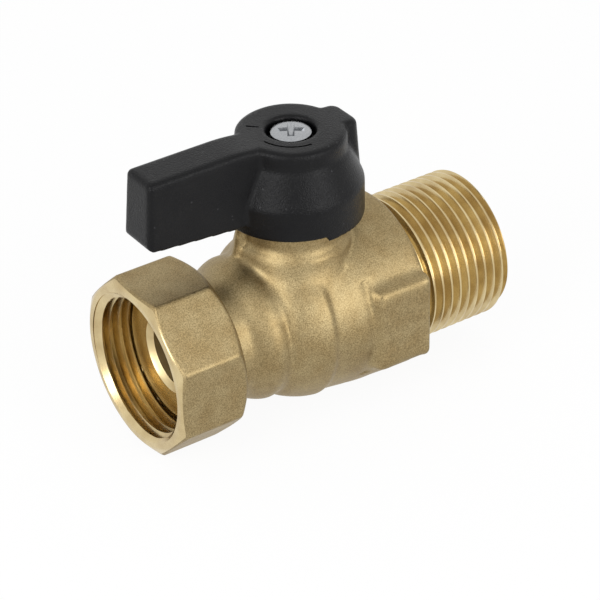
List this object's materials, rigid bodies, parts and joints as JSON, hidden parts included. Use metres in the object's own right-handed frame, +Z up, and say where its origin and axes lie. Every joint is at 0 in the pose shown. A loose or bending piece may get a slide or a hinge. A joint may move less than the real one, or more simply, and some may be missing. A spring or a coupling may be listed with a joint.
{
  "type": "radiator valve",
  "caption": "Quarter-turn brass ball valve with a male pipe thread, a loose octagonal union nut on a flanged tailpiece and a black moulded lever.",
  "frame": {"origin": "centre of the male thread's end face", "axes": "+X along the flow axis and out of the male thread, +Z up along the stem towards the lever, +Y to the left when looking along +X"},
  "size_m": [0.0683, 0.0322, 0.0515],
  "materials": {
    "forged_brass": "forged and blasted, matt",
    "turned_brass": "turned, bright",
    "nut_brass": "blasted flats, turned face",
    "plated_ball": "polished plating",
    "white_seat": "turned fluoropolymer",
    "black_rubber": "moulded",
    "black_plastic": "moulded, fine satin grain",
    "zinc_steel": "zinc plated"
  },
  "bodies": {
    "body": {"valve_body": "forged_brass", "union_tailpiece": "turned_brass", "seat_ring_inlet": "white_seat", "seat_ring_outlet": "white_seat"},
    "lever": {"lever_handle": "black_plastic", "handle_screw": "zinc_steel", "stem": "turned_brass", "stem_washer": "white_seat", "stem_o_ring_lower": "black_rubber", "stem_o_ring_upper": "black_rubber", "ball": "plated_ball"},
    "nut": {"union_nut": "nut_brass"}
  },
  "joints": [
    {"name": "lever_turn", "type": "hinge", "parent": "body", "child": "lever", "pos_m": [-0.0362, 0, 0], "axis": [0, 0, 1], "range_deg": [-90, 0]},
    {"name": "nut_turn", "type": "hinge", "parent": "body", "child": "nut", "pos_m": [-0.06, 0, 0], "axis": [1, 0, 0], "continuous": true}
  ]
}
